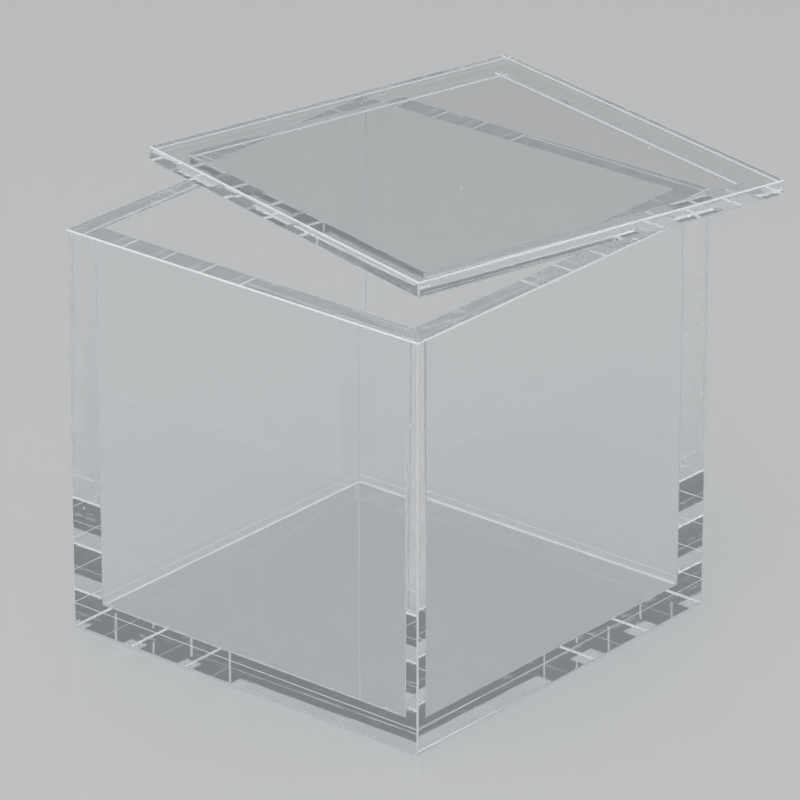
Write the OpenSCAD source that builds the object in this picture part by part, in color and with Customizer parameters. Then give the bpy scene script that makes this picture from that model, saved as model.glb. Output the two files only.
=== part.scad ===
// Clear acrylic storage box with a lift-off lid.
// Four wall panels with mitred ends stand on a full-width base panel.
// The lid is a top plate with a smaller locating plate welded beneath it.
// It lies as it was put down, turned and set back on the rim, not pushed home.
// The origin is the middle of the underside. +Z is up and the front wall faces -Y.

/* [Box] */
// Outside width, left to right
box_w = 85; // [60:0.5:200]
// Outside depth, front to back
box_d = 85; // [60:0.5:200]
// Height of the rim above the underside
box_h = 81.2; // [30:0.1:200]
// Thickness of the wall panels
wall_t = 5; // [3:0.5:8]
// Thickness of the base panel
base_t = 5; // [3:0.5:8]
// Width of the bevel that breaks each outside edge
edge_bevel = 0.25; // [0.1:0.05:0.5]

/* [Lid] */
// Thickness of the top plate
lid_t = 3; // [2:0.5:6]
// Thickness of the locating plate
locator_t = 3; // [2:0.5:6]
// Room between the locating plate and each wall when the lid is home
locator_gap = 0.4; // [0.2:0.05:1]

/* [How the lid lies] */
// Turn of the lid seen from above, anticlockwise
lid_turn = -13.4; // [-20:0.1:20]
// How far the lid's middle lies to the right of the box's middle
lid_shift_x = 2.25; // [-6:0.05:6]
// How far the lid's middle lies behind the box's middle
lid_shift_y = 19.25; // [10:0.05:25]

/* [Hidden] */

clear_acrylic = [0.87, 0.91, 0.92, 0.5];

wall_h = box_h - base_t;
inside_w = box_w - 2 * wall_t;
inside_d = box_d - 2 * wall_t;
locator_w = inside_w - 2 * locator_gap;
locator_d = inside_d - 2 * locator_gap;

// Corners of a w by h rectangle that stands on the X axis, bevelled by low and by high
function bevelled_rectangle(w, h, low, high) =
    let (points = [
        [-w / 2, low], [-w / 2 + low, 0], [w / 2 - low, 0], [w / 2, low],
        [w / 2, h - high], [w / 2 - high, h], [-w / 2 + high, h], [-w / 2, h - high]
    ])
    [for (i = [0:7]) if (points[i] != points[(i + 1) % 8]) points[i]];

// Plan of a wall that faces -Y: each end is mitred, and its tip is cut by the corner's bevel
function mitred_plan(length) = [
    [-length / 2 + edge_bevel, 0],
    [length / 2 - edge_bevel, 0],
    [length / 2 - edge_bevel / 2, edge_bevel / 2],
    [length / 2 - wall_t, wall_t],
    [-length / 2 + wall_t, wall_t],
    [-length / 2 + edge_bevel / 2, edge_bevel / 2]
];

// A flat sheet on the XY plane, its upright edges bevelled, and its rims by below and above
module sheet(w, d, t, below, above) {
    intersection() {
        translate([0, -d / 2, 0])
            linear_extrude(t)
                polygon(bevelled_rectangle(w, d, edge_bevel, edge_bevel));
        translate([0, d / 2, 0])
            rotate([90, 0, 0])
                linear_extrude(d)
                    polygon(bevelled_rectangle(w, t, below, above));
        translate([-w / 2, 0, 0])
            rotate([90, 0, 90])
                linear_extrude(w)
                    polygon(bevelled_rectangle(d, t, below, above));
    }
}

// A wall panel that stands on the base, its outer face reach from the middle of the box
module wall(length, reach, turn) {
    color(clear_acrylic)
        rotate([0, 0, turn])
            translate([0, -reach, base_t])
                intersection() {
                    linear_extrude(wall_h)
                        polygon(mitred_plan(length));
                    translate([-length / 2, wall_t / 2, 0])
                        rotate([90, 0, 90])
                            linear_extrude(length)
                                polygon(bevelled_rectangle(wall_t, wall_h, 0, edge_bevel));
                }
}

// Lays a piece of the lid on the rim, where the lid was put down
module on_rim() {
    translate([lid_shift_x, lid_shift_y, box_h])
        rotate([0, 0, lid_turn])
            children();
}

module base_panel() {
    color(clear_acrylic)
        sheet(box_w, box_d, base_t, below = edge_bevel, above = 0);
}

module front_wall() {
    wall(box_w, box_d / 2, 0);
}

module right_wall() {
    wall(box_d, box_w / 2, 90);
}

module back_wall() {
    wall(box_w, box_d / 2, 180);
}

module left_wall() {
    wall(box_d, box_w / 2, 270);
}

module lid_plate() {
    color(clear_acrylic)
        on_rim()
            translate([0, 0, locator_t])
                sheet(box_w, box_d, lid_t, below = edge_bevel, above = edge_bevel);
}

module lid_locating_plate() {
    color(clear_acrylic)
        on_rim()
            sheet(locator_w, locator_d, locator_t, below = edge_bevel, above = 0);
}

base_panel();
front_wall();
right_wall();
back_wall();
left_wall();
lid_plate();
lid_locating_plate();
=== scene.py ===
import math
import random
import bpy
import bmesh
from mathutils import Matrix, Vector


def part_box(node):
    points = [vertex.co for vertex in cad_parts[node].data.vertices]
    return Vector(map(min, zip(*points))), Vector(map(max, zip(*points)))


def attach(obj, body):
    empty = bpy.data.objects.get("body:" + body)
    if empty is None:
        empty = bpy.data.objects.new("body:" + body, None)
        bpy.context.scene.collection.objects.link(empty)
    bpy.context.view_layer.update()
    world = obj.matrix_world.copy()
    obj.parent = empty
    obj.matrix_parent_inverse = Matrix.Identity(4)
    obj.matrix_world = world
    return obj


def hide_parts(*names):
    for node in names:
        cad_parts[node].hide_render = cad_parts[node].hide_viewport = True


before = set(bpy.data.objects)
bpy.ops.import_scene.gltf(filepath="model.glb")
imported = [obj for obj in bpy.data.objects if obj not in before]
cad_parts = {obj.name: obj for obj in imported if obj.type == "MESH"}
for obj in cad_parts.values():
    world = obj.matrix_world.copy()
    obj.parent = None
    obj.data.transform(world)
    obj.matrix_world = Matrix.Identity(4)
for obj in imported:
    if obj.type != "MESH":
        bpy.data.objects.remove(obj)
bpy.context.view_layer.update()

baseLow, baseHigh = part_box("base_panel")
wallLow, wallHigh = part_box("front_wall")
boxWidth = baseHigh.x - baseLow.x
boxDepth = baseHigh.y - baseLow.y
baseTop = baseHigh.z
rimHeight = wallHigh.z
wallThickness = wallHigh.y - wallLow.y
print("frame loaded, box %.1f mm wide" % (boxWidth * 1000))

camera = {
    "azimuth": 40.03,
    "elevation": 23.33,
    "target": (0.00153, 0.00128, 0.04455),
    "distance": 1.157,
    "lens": 276.9,
    "clip": (0.01, 50),
}


# azimuth 0 is from the front wall's side and 90 from the right wall's
def directionTo(azimuth, elevation):
    a, e = math.radians(azimuth), math.radians(elevation)
    return Vector((math.sin(a) * math.cos(e), -math.cos(a) * math.cos(e), math.sin(e)))


def aimFrom(azimuth, elevation, distance, target):
    back = directionTo(azimuth, elevation)
    turn = (-back).to_track_quat("-Z", "Y").to_matrix().to_4x4()
    return Matrix.Translation(Vector(target) + back * distance) @ turn


cameraData = bpy.data.cameras.new("photoCamera")
cameraData.lens = camera["lens"]
cameraData.sensor_width = 36
cameraData.clip_start, cameraData.clip_end = camera["clip"]
cameraObject = bpy.data.objects.new("photoCamera", cameraData)
cameraObject.matrix_world = aimFrom(
    camera["azimuth"], camera["elevation"], camera["distance"], camera["target"])
bpy.context.scene.collection.objects.link(cameraObject)
bpy.context.scene.camera = cameraObject


# Shaders

def newGroup(name, inputs, outputs):
    group = bpy.data.node_groups.new(name, "ShaderNodeTree")
    for label, kind, value in inputs:
        socket = group.interface.new_socket(name=label, in_out="INPUT", socket_type=kind)
        if value is not None:
            socket.default_value = value
    for label in outputs:
        group.interface.new_socket(name=label, in_out="OUTPUT", socket_type="NodeSocketFloat")
    return group, group.nodes.new("NodeGroupInput"), group.nodes.new("NodeGroupOutput")


def mathNode(tree, operation, a, b=None, c=None, clamp=False):
    node = tree.nodes.new("ShaderNodeMath")
    node.operation = operation
    node.use_clamp = clamp
    for slot, value in enumerate((a, b, c)):
        if value is None:
            continue
        if isinstance(value, (int, float)):
            node.inputs[slot].default_value = value
        else:
            tree.links.new(value, node.inputs[slot])
    return node.outputs[0]


def stepNode(tree, value, start, end, low=0.0, high=1.0):
    node = tree.nodes.new("ShaderNodeMapRange")
    node.interpolation_type = "SMOOTHSTEP"
    tree.links.new(value, node.inputs["Value"])
    node.inputs["From Min"].default_value = start
    node.inputs["From Max"].default_value = end
    node.inputs["To Min"].default_value = low
    node.inputs["To Max"].default_value = high
    return node.outputs["Result"]


def stretchNode(tree, vector, scale, turn=(0, 0, 0), shift=(0, 0, 0)):
    node = tree.nodes.new("ShaderNodeMapping")
    node.inputs["Location"].default_value = shift
    node.inputs["Rotation"].default_value = turn
    node.inputs["Scale"].default_value = scale
    tree.links.new(vector, node.inputs["Vector"])
    return node.outputs["Vector"]


def noiseNode(tree, vector, scale, detail=2.0, roughness=0.5):
    node = tree.nodes.new("ShaderNodeTexNoise")
    node.inputs["Scale"].default_value = scale
    node.inputs["Detail"].default_value = detail
    node.inputs["Roughness"].default_value = roughness
    tree.links.new(vector, node.inputs["Vector"])
    return node.outputs["Fac"]


# round specks, each cell with a size and a chance of its own
def specksNode(tree, vector, scale, chance, radius):
    cells = tree.nodes.new("ShaderNodeTexVoronoi")
    cells.inputs["Scale"].default_value = scale
    tree.links.new(vector, cells.inputs["Vector"])
    split = tree.nodes.new("ShaderNodeSeparateColor")
    tree.links.new(cells.outputs["Color"], split.inputs["Color"])
    reach = mathNode(tree, "MULTIPLY_ADD", split.outputs["Green"], radius * 0.8, radius * 0.2)
    kept = mathNode(tree, "LESS_THAN", split.outputs["Red"], chance)
    near = mathNode(tree, "DIVIDE", cells.outputs["Distance"], reach)
    spot = stepNode(tree, near, 0.6, 1.0, 1.0, 0.0)
    return mathNode(tree, "MULTIPLY", spot, kept)


handling = {
    "patchScale": 34,
    "dragStretch": (90, 90, 900),
    "dragTurn": (0.5, 0.35, 0),
    "filmRoughness": 0.02,
    "hairlineStretch": (14, 700, 700),
    "hairlineTurns": (((0.6, 0.3, 0.4), (0, 0, 0)), ((-0.5, 0.8, -0.7), (3, 5, 1))),
    "hairlineRoughness": 0.05,
    "hairlineDepth": 0.4,
    "speckScale": 190,
    "speckChance": 0.34,
    "speckRadius": 0.022,
    "speckRoughness": 0.5,
}
cutEdge = {
    "streakStretch": (30, 1500, 1),
    "chatterStretch": (900, 120, 1),
    "chatterTurn": (0, 0, 0.2),
    "roughness": (0.02, 0.09),
}


def makeHandlingMarks(look):
    tree, given, result = newGroup(
        "handlingMarks",
        [("Vector", "NodeSocketVector", None), ("Smudge", "NodeSocketFloat", 0.5),
         ("Hairlines", "NodeSocketFloat", 0.5), ("Dust", "NodeSocketFloat", 0.5)],
        ["Roughness", "Height"])
    vector = given.outputs["Vector"]
    # wiped film: broad patches broken by a finer drag
    patches = stepNode(tree, noiseNode(tree, vector, look["patchScale"], 3), 0.47, 0.72)
    dragged = stretchNode(tree, vector, look["dragStretch"], look["dragTurn"])
    drag = noiseNode(tree, dragged, 1.0, 2)
    film = mathNode(tree, "MULTIPLY", patches, stepNode(tree, drag, 0.35, 0.7, 0.35, 1.0))
    film = mathNode(tree, "MULTIPLY", film, given.outputs["Smudge"])
    # hairlines: thin crests of long stretched noise, in two directions
    crests = None
    for turn, shift in look["hairlineTurns"]:
        stretched = stretchNode(tree, vector, look["hairlineStretch"], turn, shift)
        crest = stepNode(tree, noiseNode(tree, stretched, 1.0, 0), 0.77, 0.83)
        crests = crest if crests is None else mathNode(tree, "MAXIMUM", crests, crest)
    hairlines = mathNode(tree, "MULTIPLY", crests, given.outputs["Hairlines"])
    specks = specksNode(
        tree, vector, look["speckScale"], look["speckChance"], look["speckRadius"])
    specks = mathNode(tree, "MULTIPLY", specks, given.outputs["Dust"])
    rough = mathNode(tree, "MULTIPLY", film, look["filmRoughness"])
    rough = mathNode(tree, "MULTIPLY_ADD", hairlines, look["hairlineRoughness"], rough)
    rough = mathNode(tree, "MULTIPLY_ADD", specks, look["speckRoughness"], rough)
    height = mathNode(tree, "MULTIPLY", hairlines, -look["hairlineDepth"])
    tree.links.new(rough, result.inputs["Roughness"])
    tree.links.new(height, result.inputs["Height"])
    return tree


def makeCutEdgeGrain(look):
    tree, given, result = newGroup(
        "cutEdgeGrain",
        [("Vector", "NodeSocketVector", None), ("Streaks", "NodeSocketFloat", 0.5),
         ("Chatter", "NodeSocketFloat", 0.5)],
        ["Roughness", "Height"])
    vector = given.outputs["Vector"]
    # polishing lines along the edge, and the saw's faint chatter across it
    streaks = noiseNode(tree, stretchNode(tree, vector, look["streakStretch"]), 1.0, 3, 0.6)
    turned = stretchNode(tree, vector, look["chatterStretch"], look["chatterTurn"])
    chatter = noiseNode(tree, turned, 1.0, 1)
    height = mathNode(tree, "MULTIPLY", streaks, given.outputs["Streaks"])
    height = mathNode(
        tree, "ADD", height, mathNode(tree, "MULTIPLY", chatter, given.outputs["Chatter"]))
    rough = stepNode(tree, streaks, 0.40, 0.75, *look["roughness"])
    rough = mathNode(tree, "MULTIPLY", rough, given.outputs["Streaks"])
    tree.links.new(rough, result.inputs["Roughness"])
    tree.links.new(height, result.inputs["Height"])
    return tree


handlingMarks = makeHandlingMarks(handling)
cutEdgeGrain = makeCutEdgeGrain(cutEdge)
print("node groups made")

clearAcrylic = {
    "ior": 1.49,
    "sheetColour": (0.985, 0.992, 0.995, 1),
    "edgeColour": (0.955, 0.978, 0.99, 1),
    "breakColour": (0.965, 0.975, 0.985, 1),
    "lampThroughSheet": (0.955, 0.965, 0.965, 1),  # what each face lets a lamp's rays keep
    "lampThroughEdge": (0.80, 0.83, 0.84, 1),
    "waveScale": 22,           # the sheet's own slight waviness
    "sheetBump": 0.00005,
    "edgeBump": 0.000005,
    "wornScale": 420,
}
weldFace = {
    "colour": (0.93, 0.95, 0.96, 1),
    "roughness": 0.22,
    "bubbleRadius": 0.16,
    "bubbleCover": 0.8,
    "wispScale": 160,
}


def newMaterial(name):
    material = bpy.data.materials.new(name)
    material.use_nodes = True
    tree = material.node_tree
    tree.nodes.clear()
    return material, tree, tree.nodes.new("ShaderNodeOutputMaterial")


def addGroup(tree, group, vector, **values):
    node = tree.nodes.new("ShaderNodeGroup")
    node.node_tree = group
    tree.links.new(vector, node.inputs["Vector"])
    for label, value in values.items():
        node.inputs[label].default_value = value
    return node


# clear glass to the camera, but lamps and the floor's bounce light pass straight through
def finishGlass(tree, output, shader, lampTint):
    path = tree.nodes.new("ShaderNodeLightPath")
    socket = shader.outputs[0]
    for flag in ("Is Diffuse Ray", "Is Shadow Ray"):
        through = tree.nodes.new("ShaderNodeBsdfTransparent")
        through.inputs["Color"].default_value = lampTint
        mix = tree.nodes.new("ShaderNodeMixShader")
        tree.links.new(path.outputs[flag], mix.inputs[0])
        tree.links.new(socket, mix.inputs[1])
        tree.links.new(through.outputs[0], mix.inputs[2])
        socket = mix.outputs[0]
    tree.links.new(socket, output.inputs["Surface"])


def glassShader(tree, colour, roughness, height=None, bumpDistance=0.0, clear=1.0):
    shader = tree.nodes.new("ShaderNodeBsdfPrincipled")
    shader.inputs["Base Color"].default_value = colour
    shader.inputs["IOR"].default_value = clearAcrylic["ior"]
    shader.inputs["Transmission Weight"].default_value = clear
    if isinstance(roughness, float):
        shader.inputs["Roughness"].default_value = roughness
    else:
        tree.links.new(roughness, shader.inputs["Roughness"])
    if height is not None:
        bump = tree.nodes.new("ShaderNodeBump")
        bump.inputs["Strength"].default_value = 1.0
        bump.inputs["Distance"].default_value = bumpDistance
        tree.links.new(height, bump.inputs["Height"])
        tree.links.new(bump.outputs[0], shader.inputs["Normal"])
    return shader


def sheetMaterial(name, look):
    material, tree, output = newMaterial(name)
    where = tree.nodes.new("ShaderNodeTexCoord").outputs["Object"]
    marks = addGroup(tree, handlingMarks, where, Smudge=look["smudge"],
                     Hairlines=look["hairlines"], Dust=look["dust"])
    wave = noiseNode(tree, where, clearAcrylic["waveScale"], 1)
    height = mathNode(tree, "MULTIPLY_ADD", wave, look["waviness"],
                      mathNode(tree, "MULTIPLY", marks.outputs["Height"], 0.05))
    shader = glassShader(tree, clearAcrylic["sheetColour"], marks.outputs["Roughness"],
                         height, clearAcrylic["sheetBump"])
    finishGlass(tree, output, shader, clearAcrylic["lampThroughSheet"])
    return material


def edgeMaterial(name, look):
    material, tree, output = newMaterial(name)
    coordinates = tree.nodes.new("ShaderNodeTexCoord")
    grain = addGroup(tree, cutEdgeGrain, coordinates.outputs["UV"],
                     Streaks=look["streaks"], Chatter=look["chatter"])
    marks = addGroup(tree, handlingMarks, coordinates.outputs["Object"], Smudge=look["smudge"],
                     Hairlines=0.0, Dust=look["dust"])
    rough = mathNode(tree, "MAXIMUM", grain.outputs["Roughness"], marks.outputs["Roughness"])
    shader = glassShader(tree, clearAcrylic["edgeColour"], rough, grain.outputs["Height"],
                         clearAcrylic["edgeBump"])
    finishGlass(tree, output, shader, clearAcrylic["lampThroughEdge"])
    return material


# scraped bevels catch light from everywhere, so they are partly frosted
def breakMaterial(name, look):
    material, tree, output = newMaterial(name)
    where = tree.nodes.new("ShaderNodeTexCoord").outputs["Object"]
    worn = noiseNode(tree, where, clearAcrylic["wornScale"], 2)
    rough = stepNode(tree, worn, 0.35, 0.7, look["breakRoughness"] * 0.6, look["breakRoughness"])
    shader = glassShader(tree, clearAcrylic["breakColour"], rough, clear=look["breakClear"])
    finishGlass(tree, output, shader, clearAcrylic["lampThroughEdge"])
    return material


# a welded face: nothing to see but pinhole bubbles and a few wisps of cement
def weldMaterial(name, look):
    material, tree, output = newMaterial(name)
    where = tree.nodes.new("ShaderNodeTexCoord").outputs["Object"]
    bubbles = specksNode(
        tree, where, look["bubbleScale"], look["bubbleChance"], weldFace["bubbleRadius"])
    wisps = stepNode(tree, noiseNode(tree, where, weldFace["wispScale"], 3), 0.62, 0.7)
    mask = mathNode(tree, "MULTIPLY_ADD", wisps, look["wisps"],
                    mathNode(tree, "MULTIPLY", bubbles, weldFace["bubbleCover"]), True)
    shader = tree.nodes.new("ShaderNodeBsdfPrincipled")
    shader.inputs["Base Color"].default_value = weldFace["colour"]
    shader.inputs["Roughness"].default_value = weldFace["roughness"]
    tree.links.new(mask, shader.inputs["Alpha"])
    tree.links.new(shader.outputs[0], output.inputs["Surface"])
    return material


# Sheet work

def slab(low, high):
    bm = bmesh.new()
    bmesh.ops.create_cube(bm, size=1.0)
    bmesh.ops.scale(bm, vec=Vector(high) - Vector(low), verts=bm.verts)
    bmesh.ops.translate(bm, vec=(Vector(low) + Vector(high)) / 2, verts=bm.verts)
    return bm


closeEnough = 1e-7     # metres


# edges whose two ends both lie at the given coordinates
def edgesAt(bm, **at):
    wanted = [("xyz".index(axis), value) for axis, value in at.items()]
    return [e for e in bm.edges
            if all(abs(v.co[axis] - value) < closeEnough
                   for v in e.verts for axis, value in wanted)]


def breakEdges(bm, edges, width, segments, material):
    done = bmesh.ops.bevel(bm, geom=edges, offset=width, offset_type="OFFSET", affect="EDGES",
                           segments=segments, profile=0.5, material=-1, clamp_overlap=True)
    for face in done["faces"]:
        face.material_index = material
    return done["faces"]


def cutAway(bm, point, normal, material):
    cut = bmesh.ops.bisect_plane(bm, geom=bm.verts[:] + bm.edges[:] + bm.faces[:],
                                 dist=closeEnough, plane_co=point, plane_no=normal,
                                 clear_outer=True)
    rim = [e for e in cut["geom_cut"] if isinstance(e, bmesh.types.BMEdge)]
    filled = bmesh.ops.holes_fill(bm, edges=rim, sides=0)["faces"]
    for face in filled:
        face.material_index = material
    return filled


# scores a face along a line, so that each side of it can have a material of its own
def score(bm, faces, point, normal):
    edges = {e for f in faces for e in f.edges}
    verts = {v for f in faces for v in f.verts}
    bmesh.ops.bisect_plane(bm, geom=list(verts) + list(edges) + list(faces),
                           dist=closeEnough, plane_co=point, plane_no=normal)


# u runs along the cut edge and v across it, both in metres
def layGrain(bm, edgeSlot):
    layer = bm.loops.layers.uv.new("grain")
    for face in bm.faces:
        if face.material_index != edgeSlot:
            continue
        span = [max(v.co[i] for v in face.verts) - min(v.co[i] for v in face.verts)
                for i in range(3)]
        longest = span.index(max(span))
        across = 2 if abs(face.normal.z) < 0.5 else 1 - longest
        for loop in face.loops:
            loop[layer].uv = (loop.vert.co[longest], loop.vert.co[across])


def finishPiece(bm, name, materials, body, nodes=(), place=None):
    bmesh.ops.dissolve_degenerate(bm, edges=bm.edges[:], dist=2 * closeEnough)
    bmesh.ops.recalc_face_normals(bm, faces=bm.faces)
    if place is not None:
        bmesh.ops.transform(bm, matrix=place, verts=bm.verts)
    mesh = bpy.data.meshes.new(name)
    bm.to_mesh(mesh)
    bm.free()
    for material in materials:
        mesh.materials.append(material)
    piece = bpy.data.objects.new(name, mesh)
    bpy.context.scene.collection.objects.link(piece)
    if nodes:
        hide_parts(*nodes)
    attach(piece, body)
    return piece


sheetSlot, edgeSlot, breakSlot, weldSlot = range(4)

# Base panel

basePanel = {
    "breakWidth": 0.0003,
    "seamGroove": 0.00008,    # hair-fine step left where the walls stand on the panel
    "smudge": 0.4,
    "hairlines": 0.5,
    "dust": 0.7,
    "waviness": 0.6,
    "streaks": 0.6,
    "chatter": 0.3,
    "breakRoughness": 0.30,
    "breakClear": 0.1,
    "bubbleScale": 420,
    "bubbleChance": 0.1,
    "wisps": 0.16,
}


def pieceMaterials(name, look):
    return [sheetMaterial(name + "Sheet", look), edgeMaterial(name + "CutEdge", look),
            breakMaterial(name + "Break", look), weldMaterial(name + "Weld", look)]


def makeBasePanel(look):
    bm = slab(baseLow, baseHigh)
    for face in bm.faces:
        face.material_index = sheetSlot if abs(face.normal.z) > 0.5 else edgeSlot
    upright = [e for e in bm.edges if abs(e.verts[0].co.z - e.verts[1].co.z) > baseTop / 2]
    breakEdges(bm, upright + edgesAt(bm, z=baseLow.z), look["breakWidth"], 4, breakSlot)
    breakEdges(bm, edgesAt(bm, z=baseTop), look["seamGroove"], 1, breakSlot)
    inner = [baseLow.x + wallThickness, baseHigh.x - wallThickness,
             baseLow.y + wallThickness, baseHigh.y - wallThickness]
    for i, at in enumerate(inner):
        top = [f for f in bm.faces if f.calc_center_median().z > baseTop - closeEnough]
        axis = (1, 0, 0) if i < 2 else (0, 1, 0)
        score(bm, top, (at, at, baseTop), axis)
    for face in bm.faces:
        middle = face.calc_center_median()
        if middle.z > baseTop - closeEnough:
            under = middle.x < inner[0] or middle.x > inner[1]
            under = under or middle.y < inner[2] or middle.y > inner[3]
            face.material_index = weldSlot if under else sheetSlot
    bm.normal_update()
    layGrain(bm, edgeSlot)
    return finishPiece(bm, "basePanel", pieceMaterials("base", look), "box",
                       ["base_panel"])


makeBasePanel(basePanel)
print("base panel made")

# Wall panels, mitred at the corners

wallPanels = {
    "breakWidth": 0.0003,
    "innerBreak": 0.00012,
    "seamGroove": 0.00008,
    "mitreGroove": 0.0001,
    "smudge": 0.4,
    "hairlines": 0.6,
    "dust": 0.7,
    "waviness": 0.6,
    "streaks": 0.6,
    "chatter": 0.25,
    "breakRoughness": 0.30,
    "breakClear": 0.1,
    "bubbleScale": 420,
    "bubbleChance": 0.1,
    "wisps": 0.16,
}


def makeWall(name, node, length, reach, turn, look, materials):
    outer, inner, half = -reach, -reach + wallThickness, length / 2
    bm = slab((-half, outer, baseTop), (half, inner, rimHeight))
    for face in bm.faces:
        face.material_index = edgeSlot if face.normal.z > 0.5 else sheetSlot
        if face.normal.z < -0.5:
            face.material_index = weldSlot
    outside = [e for e in bm.edges
               if e not in edgesAt(bm, y=inner) and e not in edgesAt(bm, z=baseTop)]
    breakEdges(bm, outside, look["breakWidth"], 4, breakSlot)
    breakEdges(bm, edgesAt(bm, y=inner, z=rimHeight), look["innerBreak"], 2, breakSlot)
    foot = [e for e in edgesAt(bm, z=baseTop) if e not in edgesAt(bm, y=inner)]
    breakEdges(bm, foot, look["seamGroove"], 1, breakSlot)
    for side in (-1, 1):
        cutAway(bm, (side * half, outer, 0), (side, 1, 0), weldSlot)
    groove = [e for e in edgesAt(bm, z=rimHeight)
              if any(f.material_index == weldSlot for f in e.link_faces)]
    breakEdges(bm, groove, look["mitreGroove"], 1, breakSlot)
    bm.normal_update()
    layGrain(bm, edgeSlot)
    place = Matrix.Rotation(math.radians(turn), 4, "Z")
    return finishPiece(bm, name, materials, "box", [node], place)


wallMaterials = pieceMaterials("wall", wallPanels)
for wallName, nodeName, wallLength, wallReach, wallTurn in (
        ("frontWall", "front_wall", boxWidth, boxDepth / 2, 0),
        ("rightWall", "right_wall", boxDepth, boxWidth / 2, 90),
        ("backWall", "back_wall", boxWidth, boxDepth / 2, 180),
        ("leftWall", "left_wall", boxDepth, boxWidth / 2, 270)):
    makeWall(wallName, nodeName, wallLength, wallReach, wallTurn, wallPanels, wallMaterials)
print("wall panels made")

# Lid, lying where it was put down

lidPlates = {
    "width": boxWidth,
    "locatorWidth": boxWidth - 2 * (wallThickness + 0.0004),    # the last is its room in the mouth
    "turn": -13.4,
    "shift": (0.00225, 0.01925),
    "airFilm": 0.00003,       # keeps the locating plate's face off the rim's
    "breakWidth": 0.0003,
    "smudge": 0.4,
    "hairlines": 0.7,
    "dust": 0.9,
    "waviness": 0.5,
    "streaks": 0.7,
    "chatter": 0.3,
    "breakRoughness": 0.30,
    "breakClear": 0.1,
    "bubbleScale": 360,
    "bubbleChance": 0.12,
    "wisps": 0.02,
}
plateLow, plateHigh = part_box("lid_plate")
lidPlace = (Matrix.Translation((lidPlates["shift"][0], lidPlates["shift"][1], 0))
            @ Matrix.Rotation(math.radians(lidPlates["turn"]), 4, "Z"))


def makeLidPlate(look, materials):
    half, weldHalf = look["width"] / 2, look["locatorWidth"] / 2
    bm = slab((-half, -half, plateLow.z), (half, half, plateHigh.z))
    for face in bm.faces:
        face.material_index = sheetSlot if abs(face.normal.z) > 0.5 else edgeSlot
    breakEdges(bm, bm.edges[:], look["breakWidth"], 4, breakSlot)
    for at in (-weldHalf, weldHalf):
        for axis in ((1, 0, 0), (0, 1, 0)):
            under = [f for f in bm.faces if f.calc_center_median().z < plateLow.z + closeEnough]
            score(bm, under, (at, at, plateLow.z), axis)
    for face in bm.faces:
        middle = face.calc_center_median()
        if middle.z < plateLow.z + closeEnough and max(abs(middle.x), abs(middle.y)) < weldHalf:
            face.material_index = weldSlot
    bm.normal_update()
    layGrain(bm, edgeSlot)
    return finishPiece(bm, "lidPlate", materials, "lid", ["lid_plate"], lidPlace)


def makeLocatingPlate(look, materials):
    half = look["locatorWidth"] / 2
    bottom = rimHeight + look["airFilm"]
    bm = slab((-half, -half, bottom), (half, half, plateLow.z))
    for face in bm.faces:
        face.material_index = sheetSlot if face.normal.z < -0.5 else edgeSlot
        if face.normal.z > 0.5:
            face.material_index = weldSlot
    outside = [e for e in bm.edges if e not in edgesAt(bm, z=plateLow.z)]
    breakEdges(bm, outside, look["breakWidth"], 4, breakSlot)
    bm.normal_update()
    layGrain(bm, edgeSlot)
    return finishPiece(bm, "lidLocatingPlate", materials, "lid",
                       ["lid_locating_plate"], lidPlace)


lidMaterials = pieceMaterials("lid", lidPlates)
makeLidPlate(lidPlates, lidMaterials)
makeLocatingPlate(lidPlates, lidMaterials)
print("lid made")

# Cured cement along the inside of the welds

boxCement = {
    "fillet": 0.00022,
    "floorFillet": 0.0004,  # more cement runs along the base panel
    "uneven": 0.25,         # how far the fillet swells and thins, as a share
    "step": 0.0016,
    "gap": 0.000015,
    "seed": 5,
    "topGap": 0.0004,       # the bead stops short of the rim
    "clear": 0.4,
    "drips": [              # middle, then half width, half thickness and half height
        {"at": (0.0364, -0.0375, 0.0803), "size": (0.00055, 0.00018, 0.0008)},
        {"at": (0.0368, -0.0375, 0.0798), "size": (0.00022, 0.00016, 0.0010)},
        {"at": (0.0375, -0.0371, 0.0804), "size": (0.00016, 0.00025, 0.0007)},
        {"at": (0.0375, -0.0366, 0.0802), "size": (0.00016, 0.00022, 0.0006)},
        {"at": (0.0375, -0.0366, 0.0090), "size": (0.00012, 0.00022, 0.0003)},
        {"at": (0.0375, -0.0367, 0.0075), "size": (0.00014, 0.00030, 0.0004)},
        {"at": (0.0327, -0.0375, 0.0054), "size": (0.00060, 0.00020, 0.0003)},
    ],
}
lidCement = {
    "fillet": 0.0002,
    "uneven": 0.5,
    "step": 0.0012,
    "gap": 0.000015,
    "seed": 11,
    "clear": 0.75,
}


cementSkin = {
    "scale": 900,
    "roughness": (0.03, 0.22),
}
crestDip = 0.7      # how far a bead's face is hollowed, in fillets
swellCarry = 0.4    # how much of its swell a bead carries on from one station to the next


def cementMaterial(name, look):
    material, tree, output = newMaterial(name)
    where = tree.nodes.new("ShaderNodeTexCoord").outputs["Object"]
    skin = noiseNode(tree, where, cementSkin["scale"], 2)
    rough = stepNode(tree, skin, 0.35, 0.7, *cementSkin["roughness"])
    shader = glassShader(tree, clearAcrylic["breakColour"], rough, clear=look["clear"])
    finishGlass(tree, output, shader, clearAcrylic["lampThroughEdge"])
    return material


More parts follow.
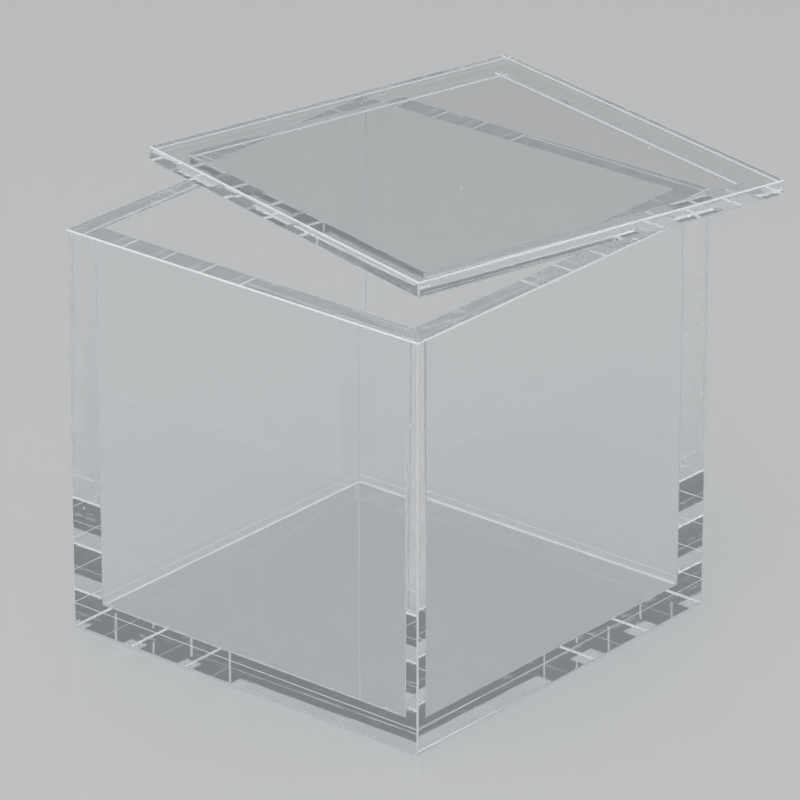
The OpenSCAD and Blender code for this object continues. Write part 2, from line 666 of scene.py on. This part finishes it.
# a hollow-faced fillet in the corner between two faces, swelling and thinning as it goes
def layBead(bm, start, end, sideA, sideB, fillet, look, draw):
    start, end, sideA, sideB = (Vector(v) for v in (start, end, sideA, sideB))
    along = end - start
    corner = start + (sideA + sideB) * look["gap"]
    frameOfBead = Matrix((along, sideA * fillet, sideB * fillet)).transposed().to_4x4()
    frameOfBead.translation = corner + (along + (sideA + sideB) * fillet) / 2
    before = len(bm.verts)
    bead = bmesh.ops.create_cube(bm, size=1.0, matrix=frameOfBead)["verts"]
    crest = [v for v in bead if (v.co - corner).dot(sideA + sideB) > fillet * 1.5]
    bmesh.ops.translate(bm, vec=(sideA + sideB) * fillet * -crestDip, verts=crest)
    stations = max(2, int(along.length / look["step"]))
    lengthways = [e for e in bm.edges if e.verts[0] in bead and e.verts[1] in bead
                  and abs((e.verts[1].co - e.verts[0].co).dot(along)) > along.length_squared / 2]
    bmesh.ops.subdivide_edges(bm, edges=lengthways, cuts=stations - 1, use_grid_fill=True)
    rings = [[] for station in range(stations + 1)]
    for vert in bm.verts[before:]:
        share = (vert.co - corner).dot(along) / along.length_squared
        rings[round(share * stations)].append(vert)
    swell = 1.0
    for station, ring in enumerate(rings):
        fresh = 1 + look["uneven"] * draw.uniform(-1, 1)
        swell = swell * swellCarry + fresh * (1 - swellCarry)
        middle = corner + along * station / stations
        bmesh.ops.scale(bm, vec=[swell] * 3, space=Matrix.Translation(-middle), verts=ring)


def layDrip(bm, drip):
    ball = bmesh.ops.create_icosphere(bm, subdivisions=3, radius=1.0)["verts"]
    bmesh.ops.scale(bm, vec=drip["size"], verts=ball)
    bmesh.ops.translate(bm, vec=drip["at"], verts=ball)


def makeBoxCement(look):
    draw = random.Random(look["seed"])
    bm = bmesh.new()
    x, y = boxWidth / 2 - wallThickness, boxDepth / 2 - wallThickness
    corners = [(-x, -y), (x, -y), (x, y), (-x, y)]
    inward = [((1, 0, 0), (0, 1, 0)), ((-1, 0, 0), (0, 1, 0)),
              ((-1, 0, 0), (0, -1, 0)), ((1, 0, 0), (0, -1, 0))]
    for i, (cx, cy) in enumerate(corners):
        layBead(bm, (cx, cy, baseTop), (cx, cy, rimHeight - look["topGap"]),
                inward[i][0], inward[i][1], look["fillet"], look, draw)
        nx, ny = corners[(i + 1) % 4]
        layBead(bm, (cx, cy, baseTop), (nx, ny, baseTop),
                (0, 0, 1), inward[i][1] if i % 2 == 0 else inward[i][0],
                look["floorFillet"], look, draw)
    for drip in look["drips"]:
        layDrip(bm, drip)
    return finishPiece(bm, "boxCement", [cementMaterial("boxCement", look)], "box")


def makeLidCement(look):
    draw = random.Random(look["seed"])
    bm = bmesh.new()
    half = lidPlates["locatorWidth"] / 2
    corners = [(-half, -half), (half, -half), (half, half), (-half, half)]
    outward = [(0, -1, 0), (1, 0, 0), (0, 1, 0), (-1, 0, 0)]
    for i, (cx, cy) in enumerate(corners):
        nx, ny = corners[(i + 1) % 4]
        layBead(bm, (cx, cy, plateLow.z), (nx, ny, plateLow.z), (0, 0, -1), outward[i],
                look["fillet"], look, draw)
    return finishPiece(bm, "lidCement", [cementMaterial("lidCement", look)], "lid",
                       place=lidPlace)


makeBoxCement(boxCement)
makeLidCement(lidCement)
print("cement made")

# Stage and light

studio = {
    "floorColour": (0.62, 0.625, 0.63, 1),
    "floorRoughness": 0.08,
    "floorRadius": 9.0,
    "floorDrop": 0.0003,                # keeps the floor's face off the underside's
    "horizon": (0.60, 0.61, 0.62, 1),   # pale band that the side views see behind the box
    "dome": (0.20, 0.205, 0.21, 1),     # darker above, so that the edges have something to show
    "bandTop": 0.30,                    # sine of the height at which the band has faded
}
# each softbox is given by where it hangs and how wide and tall it looks from the box, in degrees
softboxes = {
    "overhead": {"azimuth": 40, "elevation": 84, "across": 48, "tall": 48, "radiance": 1.9},
    "frontKey": {"azimuth": 18, "elevation": 51, "across": 44, "tall": 36, "radiance": 2.0},
    "backKey": {"azimuth": 215, "elevation": 52, "across": 33, "tall": 18, "radiance": 2.4},
}
softboxDistance = 4.0
softboxAim = (0, 0, 0.04)


def makeFloor(look):
    bm = bmesh.new()
    bmesh.ops.create_circle(bm, cap_ends=True, segments=96, radius=look["floorRadius"])
    bmesh.ops.translate(bm, vec=(0, 0, -look["floorDrop"]), verts=bm.verts)
    mesh = bpy.data.meshes.new("floor")
    bm.to_mesh(mesh)
    bm.free()
    material, tree, output = newMaterial("paleFloor")
    shader = tree.nodes.new("ShaderNodeBsdfPrincipled")
    shader.inputs["Base Color"].default_value = look["floorColour"]
    shader.inputs["Roughness"].default_value = look["floorRoughness"]
    tree.links.new(shader.outputs[0], output.inputs["Surface"])
    mesh.materials.append(material)
    floor = bpy.data.objects.new("floor", mesh)
    bpy.context.scene.collection.objects.link(floor)


def makeWorld(look):
    world = bpy.data.worlds.new("studioWorld")
    world.use_nodes = True
    tree = world.node_tree
    tree.nodes.clear()
    direction = tree.nodes.new("ShaderNodeTexCoord").outputs["Generated"]
    split = tree.nodes.new("ShaderNodeSeparateXYZ")
    tree.links.new(direction, split.inputs[0])
    rise = stepNode(tree, split.outputs["Z"], 0.0, look["bandTop"])
    mix = tree.nodes.new("ShaderNodeMix")
    mix.data_type = "RGBA"
    colours = [s for s in mix.inputs if s.type == "RGBA"]
    colours[0].default_value = look["horizon"]
    colours[1].default_value = look["dome"]
    tree.links.new(rise, mix.inputs["Factor"])
    background = tree.nodes.new("ShaderNodeBackground")
    tree.links.new([s for s in mix.outputs if s.type == "RGBA"][0], background.inputs["Color"])
    output = tree.nodes.new("ShaderNodeOutputWorld")
    tree.links.new(background.outputs[0], output.inputs["Surface"])
    bpy.context.scene.world = world


def addSoftbox(name, box):
    light = bpy.data.lights.new(name, "AREA")
    light.shape = "RECTANGLE"
    light.size, light.size_y = (2 * softboxDistance * math.tan(math.radians(box[span]) / 2)
                                for span in ("across", "tall"))
    light.energy = box["radiance"] * math.pi * light.size * light.size_y
    lamp = bpy.data.objects.new(name, light)
    lamp.matrix_world = aimFrom(box["azimuth"], box["elevation"], softboxDistance, softboxAim)
    lamp.visible_camera = False
    bpy.context.scene.collection.objects.link(lamp)


makeFloor(studio)
makeWorld(studio)
for softboxName, softbox in softboxes.items():
    addSoftbox(softboxName, softbox)

scene = bpy.context.scene
scene.view_settings.view_transform = "Standard"
scene.cycles.max_bounces = 40
scene.cycles.transmission_bounces = 40
scene.cycles.glossy_bounces = 24
scene.cycles.transparent_max_bounces = 64
print("stage and lights made, denoising", scene.cycles.use_denoising)
